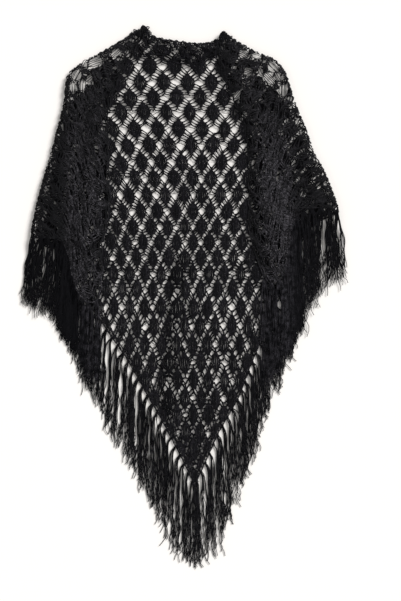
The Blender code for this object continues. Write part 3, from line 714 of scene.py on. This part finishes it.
def backSizes(r, x, y):
    pitch = leafRows[r][2]
    upper, lower, covered = (backSettings[key] for key in ("upper", "lower", "covered"))
    litPast, litLow, litHigh = backSettings["lit"]
    lit = x > litPast and litLow < y < litHigh
    # the closer knitting also reaches past the fronts' edges, a painted shadow beside them
    near = float(np.interp(y, *backSettings["margin"]))
    if not (inRing(x - near, y, showing) and inRing(x + near, y, showing)) and not lit:
        return dict(covered, half=pitch * covered["half"])  # closer where the fronts cover it
    wide = min(max((y + 40) / 160, 0), 1)
    opened = min(max((y - 240) / 90, 0), 1)  # stretched more open towards the neck
    close = min(max((-165 - y) / 80, 0), 1)  # closer towards the point
    gatheredAndShaded = min(creaseRise(x, y) / 4.0, 1.0)  # and along the crease, partly cloth gathered there and partly closer knitting that stands in for the crease's shade
    leaf = {key: upper[key] * wide + lower[key] * (1 - wide) for key in upper}
    leaf["half"] = pitch * (leaf["half"] + 0.06 * close - 0.035 * opened + 0.10 * gatheredAndShaded)
    leaf["up"] += close
    leaf["down"] += close
    leaf["rung"] = leaf["rung"] + 0.3 * close - 0.08 * opened + 0.9 * gatheredAndShaded
    return dict(leaf, rungs=5 if wide > 0.6 else 4, round=backSettings["round"], arcs=[])


backRows = []
for r, (y, middle, pitch) in enumerate(leafRows):
    shift = 0.0 if r % 2 else 0.5
    backRows.append({c: (middle + (c + shift) * pitch, y) for c in range(-11, 11)})
backStrands = leafLace(backRows, backSizes, onBack, backSettings)
for leg, side in ((leftLeg, 1), (rightLeg, -1)):
    backStrands += edging(leg, side, 0.0, backSettings)
backLace = yarnPiece("backLace", stretchOpen(laid(backStrands, layBack), False), backSettings)

# fronts: the same lace turned on its side, leaves pointing to the front edge, over the fold and its lip
frontSettings = {
    "seed": 11, "firstRow": -1, "walePitch": 3.0, "walePoints": 6, "waleRadius": 1.15, "leafLift": 0.6,
    "loose": 2.2, "wisps": 0.5, "swell": (0.9, 1.1), "extra": 0.2, "thickness": 1.0, "sides": 4,
    "yarn": frontYarn, "nap": paintedLeftLight, "rowPitch": 18.0, "pitch": 41.0,
    "cordPitch": 7, "cordRadius": 1.2, "cords": (-1.2, -6.0), "hemCords": (0.0, 3.6),
    "zigzag": (-0.5, -8.0), "zigzagPitch": 4.0, "zigzagRadius": 1.1,
    "leaf": {"half": 11.0, "up": 10.5, "down": 12.0, "stem": 2.0, "rise": 2.0, "rungs": 4, "rung": 0.95,
             "shoulder": 2.0, "round": 1.8, "arcs": []},
    "crumple": 2.4, "crumpleSpan": 19.0, "loop": 1.3, "loopPitch": 6.5,
    "stretched": True,  # open at the shoulder
    "outer": None, "outerShare": 0.6, "outerPlaces": (190, 430),  # what differs near the outer fold
    "corner": []}  # x, y, reach and height of each heap of loops
loopsPerHeap = 14


def crumple(strands, settings):  # small shoves in the cloth that break up the rows
    size, span = settings["crumple"], settings["crumpleSpan"]
    for strand in strands:
        u, v = strand[:, 0] / span, strand[:, 1] / span
        strand[:, 0] += size * np.sin(3.1 * v + 2.0 * np.sin(2.9 * u + 1.0))
        strand[:, 1] += size * np.sin(3.7 * u + 2.3 * np.sin(2.3 * v))
        strand[:, 2] += 0.3 * size * np.sin(4.3 * u + 3.1 * v + 1.7 * np.sin(2.0 * u))


def cornerLoops(heaps, seed):  # knitting bunched up where a front meets the neck
    rng = random.Random(seed)
    loops = []
    for k in range(loopsPerHeap * len(heaps)):
        x, y, reach, high = heaps[k % len(heaps)]
        turn, off = rng.uniform(0, fullTurn), reach * math.sqrt(rng.random())
        midX, midY = x + off * math.cos(turn), y + off * math.sin(turn)
        rise = high * (1 - 0.4 * (off / reach) ** 2)
        size, start = rng.uniform(1.8, 3.2), rng.uniform(0, fullTurn)
        loop = []
        for q in range(6):
            angle = start + q * 0.9
            height = rise + 0.9 * math.sin(start + q * 1.3)
            loop.append((midX + size * math.cos(angle), midY + size * math.sin(angle), height, 1.15))
        loops.append(np.array(loop))
    return loops


def frontLace(name, grid, settings):
    long = grid["t"][-1]

    def widthAt(u):
        return np.interp(u, grid["t"], grid["widths"])

    def onFront(u, v):
        return 0 <= u <= long and -widthAt(u) - foldSpan - lip <= v <= 0

    def frontSizes(r, u, v):
        low, high = settings["outerPlaces"]
        if settings["outer"] and -v > settings["outerShare"] * widthAt(u) and low < u < high:
            return dict(settings["leaf"], **settings["outer"])
        return settings["leaf"]

    rows = []
    deepest = float(grid["widths"].max()) + foldSpan + lip
    for r in range(-1, int(deepest / settings["rowPitch"]) + 1):
        v = -settings["rowPitch"] * (r + 0.75) - settings["leaf"]["up"] - 4.0
        first = 0.8 if r % 2 else 1.3
        rows.append({c: (settings["pitch"] * (first + c), v) for c in range(-2, 12)})
    strands = leafLace(rows, frontSizes, onFront, settings)
    edge = [(u, 0.0) for u in np.linspace(0, long, 60)]
    strands += edging(edge, 1, 0.3, settings)
    hem = [(long - 1.5, v) for v in np.linspace(0, -float(widthAt(long)) - foldSpan, 30)]
    strands += edgeCords(hem, settings["hemCords"], settings["cordPitch"], settings["cordRadius"], 0.2)
    crumple(strands, settings)
    for k in range(int(long / settings["loopPitch"])):  # small loops along the turn of the fold
        u = (k + 0.5 + 0.3 * math.sin(k * 2.7)) * settings["loopPitch"]
        v = -float(widthAt(u)) - foldSpan * (0.5 + 0.12 * math.sin(k * 1.9))
        high = settings["loop"] * (0.8 + 0.4 * math.sin(k * 3.3)) + 3.0 * math.exp(-u / 12)
        strands.append(np.array([(u + h * 2.4, v + h * math.sin(k) * 1.5, 0.4 + high * (1 - h * h), 0.95)
                                 for h in (-1, -0.6, 0, 0.6, 1)]))
    strands = stretchOpen(laid(strands, layFolded(grid)), settings["stretched"])
    return yarnPiece(name, strands + cornerLoops(settings["corner"], settings["seed"]), settings)


leftFrontLace = frontLace("leftFrontLace", grids["left"], dict(
    frontSettings, corner=[(-80, 485, 5, 10), (-77, 489, 3, 8), (-86, 480, 5, 9)]))
rightFrontLace = frontLace("rightFrontLace", grids["right"], dict(
    frontSettings, nap=paintedRightLight, seed=12, outer={"half": 7.6, "rungs": 3, "rung": 0.9},
    corner=[(67, 477, 4, 10), (62, 471, 5, 9), (60, 460, 4, 8), (57, 449, 4, 7), (72, 471, 5, 9)]))

# neck band: close knitting turned down over the back
bandSettings = dict(
    frontSettings, nap=evenly, seed=21, walePoints=5, loose=1.6, wisps=0.0, yarn=laceYarn,
    rowPitch=13.0, pitch=24.0, leaf={"half": 6.6, "up": 7.5, "down": 8.0, "stem": 1.0, "rise": 1.0,
                                     "rungs": 3, "rung": 0.75, "shoulder": 1.5, "round": 1.8, "arcs": []},
    cordRadius=1.0, crumple=1.4, crumpleSpan=13.0, loop=1.6, loopPitch=6.0, stretched=False)
neckBandLace = frontLace("neckBandLace", grids["neck"], bandSettings)


# fringe: wavy threads in locks, one lock to a knot
fringeSettings = {
    "nap": evenly, "yarn": fringeYarn, "thickness": 1.0, "sides": 3, "radius": 0.85, "tipRadius": 0.65,
    "clumps": 4, "threads": 3, "points": 22, "wave": 1.3, "waveLength": 62.0,
    "out": 6.5, "rope": 1.9, "splay": 0.62,
    "clumpPitch": 0.24, "scatter": 0.16,  # in knots along the hem
    "fullShare": 0.8, "full": (0.9, 1.0), "cut": (0.72, 0.9),  # how far threads reach to the tips
    "stray": 0.16, "strayWide": 4.5, "strayDrop": -4.0,  # some ends stand out of their lock
    "endWide": 3.0, "endTall": 6.5, "pointWide": 3.0,  # how loosely the ends lie
    "widest": (-299.0, 287.0), "lowest": -460.0, "worn": 0.6,  # ends past the lowest line are worn shorter
    "toPoint": True, "knot": (2.7, 2.2),  # a knot's arm and radius
    "parted": None, "shoved": 0.72}  # a gap between two places, and the share of clumps out of it
frontFringeSettings = dict(fringeSettings, clumps=7, threads=4, toPoint=False, rope=3.4, out=2.5, splay=0.9,
                           yarn=frontFringeYarn)


def clumpThreads(clump, ground, rng, settings):  # the threads of one clump, from the knot to their ends
    root, away, tip, out, shove, few = clump
    length = np.linalg.norm(tip - root[:2])
    phase, turns = rng.uniform(0, fullTurn), length / settings["waveLength"] * rng.uniform(0.75, 1.25)
    size, bow, layer = settings["wave"] * rng.uniform(0.5, 1.3), rng.gauss(0, 3.0), rng.uniform(0, 3.0)
    threads = []
    for _ in range(settings["threads"]):
        start = root[:2] + np.array([rng.uniform(-1, 1), rng.uniform(-1, 1)]) * settings["rope"]
        stray = rng.random() < settings["stray"]
        endWide = settings["endWide"] + settings["strayWide"] * stray + settings["pointWide"] * few
        end = tip + np.array([rng.gauss(0, endWide),
                              rng.gauss(settings["strayDrop"] * stray, settings["endTall"])])
        end[0] = min(max(end[0], settings["widest"][0]), settings["widest"][1])
        end[1] = max(end[1], settings["lowest"]) + settings["worn"] * min(end[1] - settings["lowest"], 0)
        fall = (end - start) / np.linalg.norm(end - start)
        square = np.array([-fall[1], fall[0]])
        own, ownTurns = rng.uniform(0, fullTurn), turns * rng.uniform(1.6, 2.6)
        mark, ownSize = rng.uniform(-1.3, 1.3), rng.uniform(0.4, 1.6) + 0.9 * stray
        rise = rng.uniform(0, 1.4)
        thread = []
        for k in range(settings["points"]):
            f = k / (settings["points"] - 1)
            loose = min(1, max(f - 0.06, 0) * 4)
            spot = away[:2] * (1 - f) + end * f + (start - away[:2]) * math.exp(-f / 0.07)
            spot = spot + out * settings["out"] * (1 - math.exp(-f / 0.035)) * (1 - f) ** 1.6
            spot[0] += shove * min(1, f / 0.1) * min(1, (1 - f) / 0.35)
            wave = size * loose * math.sin(fullTurn * turns * f + phase)
            wave += ownSize * (0.15 + 1.9 * f ** 3) * loose * math.sin(fullTurn * ownTurns * f + own)
            spot = spot + square * (wave + mark * loose + bow * math.sin(math.pi * f))
            floorHere = ground(spot[0], spot[1])
            resting = floorHere + (layer + rise) * (0.3 + 0.7 * (1 - f))
            height = max(resting, (root[2] + rise) * (1 - f) ** 2.5)
            thick = settings["radius"] * (1 - f ** 3) + settings["tipRadius"] * f ** 3
            thread.append((spot[0], spot[1], height, thick))
        threads.append(np.array(thread))
    return threads


def fringeThreads(hem, tips, knots, ground, seed, settings):
    rng = random.Random(seed)
    hem = np.array(hem, float)
    tips = np.array(sorted(tips), float)
    run = runAlong(hem)

    def hemAt(share):
        return np.array([np.interp(run[-1] * min(max(share, 0), 1), run, column) for column in hem.T])

    threads, roots = [], []
    for knot in range(knots + 1 if settings["toPoint"] else knots):
        middle = min((knot + 0.5) / knots, 1)
        root = hemAt(middle)
        roots.append(root)
        ahead = (hemAt(middle + 0.02) - hemAt(middle - 0.02))[:2]
        out = np.array([ahead[1], -ahead[0]]) / np.linalg.norm(ahead)
        out = out if out[1] < 0 else -out
        if settings["toPoint"]:
            out = out * min(1, (1 - middle) * 6 + 0.15)
        few = settings["toPoint"] and middle > 0.8  # fewer hang at the point, where both sides meet
        for clump in range(settings["clumps"] - few):
            beside = (clump + 0.5 - settings["clumps"] / 2) * settings["clumpPitch"]
            off = rng.gauss(0, settings["scatter"]) * settings["splay"]
            away = hemAt((knot + 0.5 + beside + off) / knots)
            tip = np.array([np.interp(away[0], tips[:, 0], tips[:, k]) for k in (1, 2)])
            reach = rng.uniform(*settings["full" if rng.random() < settings["fullShare"] else "cut"])
            tip = away[:2] + (tip - away[:2]) * reach
            shove, gap = 0.0, settings["parted"]
            if gap and gap[0] < away[0] < gap[1] and rng.random() < settings["shoved"]:
                shove = min(gap, key=lambda side: abs(side - away[0])) - away[0]
            threads += clumpThreads((root, away, tip, out, shove, few), ground, rng, settings)
    return threads, roots


def addKnots(strands, roots, settings, rng):  # each knot is two short fat turns over the hem
    reach, fat = settings["knot"]
    for root in roots:
        for turn in (0, 1):
            angle = rng.uniform(-0.4, 0.4) + turn * 1.2
            arm = np.array([math.cos(angle), math.sin(angle)]) * reach
            strands.append(np.array([
                (*(root[:2] - arm), root[2], fat * 0.6), (*root[:2], root[2] + 0.8, fat),
                (*(root[:2] + arm), root[2], fat * 0.6)]))
    return strands


def hemLine(grid, count=44):  # the lower edge of a folded stretch, past the turn of its fold
    across = np.linspace(-7.0, grid["piece"]["wide"] - 2.0, count)
    return readGrid(grid, across, np.full(count, grid["t"][-1]), np.zeros(count))


def onFloor(x, y):
    return 0.9


def overBack(x, y):
    return 3.6 if onBack(x, y) else 2.4


def fringePiece(name, hem, tips, knots, ground, seed, settings):
    threads, roots = fringeThreads(hem, tips, knots, ground, seed, settings)
    threads = addKnots(threads, roots, settings, random.Random(seed + 1))
    return yarnPiece(name, threads, settings)


def flatHem(line):
    return [(x, y, 1.35) for x, y in line]


leftBackFringe = fringePiece(
    "leftBackFringe", flatHem(leftLeg[1:]), leftBackTips, 28, onFloor, 31, fringeSettings)
rightBackFringe = fringePiece(
    "rightBackFringe", flatHem(rightLeg[2:]), rightBackTips, 26, onFloor, 32, fringeSettings)
leftFrontFringe = fringePiece(
    "leftFrontFringe", hemLine(grids["left"]), leftFrontTips, 15, overBack, 33,
    dict(frontFringeSettings, nap=paintedLeftFringeShade))
rightFrontFringe = fringePiece(
    "rightFrontFringe", hemLine(grids["right"]), rightFrontTips, 16, overBack, 34,
    dict(frontFringeSettings, nap=paintedRightLight, parted=(237, 257)))

# what each piece stands for
for piece, nodes, slotName in (
        (backLace, ["back_panel"], "knit_yarn"), (leftFrontLace, ["left_front"], "knit_yarn"),
        (rightFrontLace, ["right_front"], "knit_yarn"), (neckBandLace, ["neck_band"], "band_yarn"),
        (leftBackFringe, ["left_back_fringe"], "fringe_yarn"),
        (rightBackFringe, ["right_back_fringe"], "fringe_yarn"),
        (leftFrontFringe, ["left_front_fringe"], "fringe_yarn"),
        (rightFrontFringe, ["right_front_fringe"], "fringe_yarn")):
    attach(piece, "root")
    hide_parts(*nodes)

# white table, seen straight from above as in the photo
roomSettings = {"table": 4, "tableTop": -0.0006, "tableColor": (0.95, 0.92, 0.885, 1), "tableRough": 0.9,
                "sky": 0.50, "lamp": 3.2, "lampWide": 26, "lampAt": (1.5, 1.2, 1.5),
                "lens": 85.0, "sensor": 36.0, "photoTall": 601, "cameraAt": (0.0312, 0.0016),
                "cameraLift": 0.004}
half, top = roomSettings["table"], roomSettings["tableTop"]
floorMesh = bpy.data.meshes.new("whiteTable")
floorMesh.from_pydata([(-half, -half, top), (half, -half, top), (half, half, top), (-half, half, top)],
                      [], [(0, 1, 2, 3)])
floor = placed("whiteTable", floorMesh)
white = bpy.data.materials.new("whiteTable")
white.use_nodes = True
whiteInputs = white.node_tree.nodes["Principled BSDF"].inputs
whiteInputs["Base Color"].default_value = roomSettings["tableColor"]
whiteInputs["Roughness"].default_value = roomSettings["tableRough"]
floorMesh.materials.append(white)

world = bpy.data.worlds.new("whiteRoom")
bpy.context.scene.world = world
world.use_nodes = True
skyInputs = world.node_tree.nodes["Background"].inputs
skyInputs["Color"].default_value = (1, 1, 1, 1)
skyInputs["Strength"].default_value = roomSettings["sky"]
lamp = bpy.data.lights.new("softLamp", "SUN")
lamp.energy, lamp.angle = roomSettings["lamp"], math.radians(roomSettings["lampWide"])
lampSpot = placed("softLamp", lamp)
lampSpot.location = roomSettings["lampAt"]
lampSpot.rotation_euler = lampSpot.location.to_track_quat("Z", "Y").to_euler()
bpy.context.scene.view_settings.view_transform = "Standard"

camera = bpy.data.cameras.new("above")
camera.lens, camera.sensor_width = roomSettings["lens"], roomSettings["sensor"]
camera.sensor_fit = "AUTO"
cameraSpot = placed("above", camera)
cameraHigh = roomSettings["photoTall"] * pixel * mm * camera.lens / camera.sensor_width
cameraSpot.location = (*roomSettings["cameraAt"], cameraHigh + roomSettings["cameraLift"])
cameraSpot.rotation_euler = (0, 0, 0)
bpy.context.scene.camera = cameraSpot
